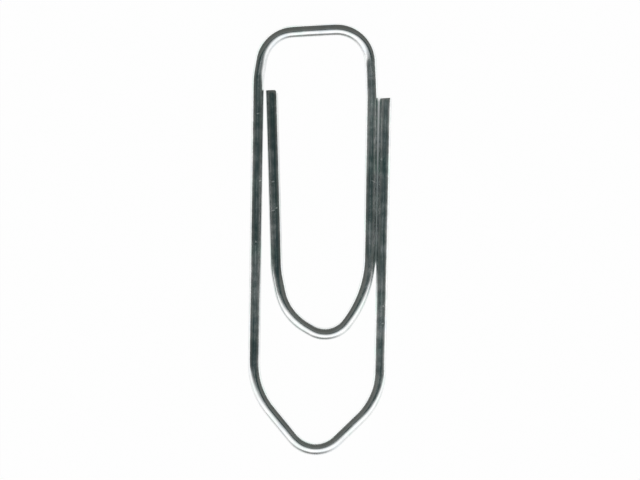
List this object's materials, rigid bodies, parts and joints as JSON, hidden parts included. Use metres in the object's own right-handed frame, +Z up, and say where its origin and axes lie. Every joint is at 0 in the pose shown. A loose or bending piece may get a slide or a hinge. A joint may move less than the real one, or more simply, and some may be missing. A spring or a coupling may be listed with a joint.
{
  "type": "paper clip",
  "caption": "Pointed paper clip bent from round steel wire: a tongue nests inside a longer outer loop and springs away from it, so that sheets slide in between and are gripped.",
  "frame": {"origin": "middle of the clip's outline, on the sheet it lies on", "axes": "+Y from the pointed nose to the flat top, +X to the right with the free outer leg on the right, +Z up from the sheet"},
  "size_m": [0.0106, 0.032, 0.0009],
  "materials": {
    "zinc_coated_wire": "drawn steel wire under a thin, slightly worn zinc coat"
  },
  "bodies": {
    "outer_loop": {"top_bar_left": "zinc_coated_wire", "top_left_bend": "zinc_coated_wire", "top_left_lead": "zinc_coated_wire", "top_left_lead_bend": "zinc_coated_wire", "long_leg": "zinc_coated_wire", "left_shoulder_bend": "zinc_coated_wire", "left_flank": "zinc_coated_wire", "nose_bend": "zinc_coated_wire", "right_flank": "zinc_coated_wire", "right_shoulder_bend": "zinc_coated_wire", "outer_free_leg": "zinc_coated_wire"},
    "tongue": {"top_bar_right": "zinc_coated_wire", "top_right_bend": "zinc_coated_wire", "top_right_lead": "zinc_coated_wire", "top_right_lead_bend": "zinc_coated_wire", "inner_leg": "zinc_coated_wire", "tongue_right_bend": "zinc_coated_wire", "tongue_tip_bend": "zinc_coated_wire", "tongue_left_flank": "zinc_coated_wire", "tongue_left_bend": "zinc_coated_wire", "tongue_heel": "zinc_coated_wire", "tongue_heel_bend": "zinc_coated_wire", "inner_free_leg": "zinc_coated_wire"}
  },
  "joints": [
    {"name": "tongue_open", "type": "hinge", "parent": "outer_loop", "child": "tongue", "pos_m": [-0.00037, 0.01547, 0.00045], "axis": [-0.9987, -0.0506, 0], "range_deg": [0, 10], "stiffness_Nm_per_rad": 0.24}
  ]
}
